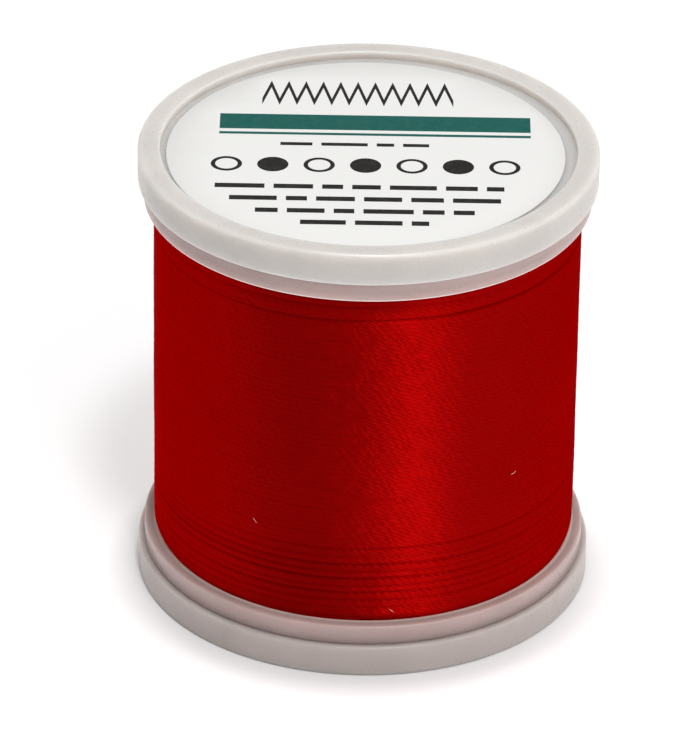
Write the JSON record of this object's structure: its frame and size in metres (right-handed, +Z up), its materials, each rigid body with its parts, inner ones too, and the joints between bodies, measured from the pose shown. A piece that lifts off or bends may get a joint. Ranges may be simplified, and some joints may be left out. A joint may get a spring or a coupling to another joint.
{
  "type": "spool of machine embroidery thread",
  "caption": "Short round spool with two capped flanges, level-wound red rayon thread between them and a round paper label on the upper cap.",
  "frame": {"origin": "centre of the base, on the surface that the spool stands on", "axes": "+Z up along the spool's axis, from the bare cap to the labelled cap; -Y towards the front of the label's print, +X to its right"},
  "size_m": [0.031, 0.031, 0.0322],
  "materials": {
    "plastic": "milky white moulded polypropylene, satin",
    "thread": "bright red rayon embroidery thread with a silky sheen",
    "paper": null
  },
  "bodies": {
    "root": {"spool_body": "plastic", "bottom_cap": "plastic", "top_cap": "plastic", "thread_winding": "thread", "top_label": "paper"}
  },
  "joints": []
}
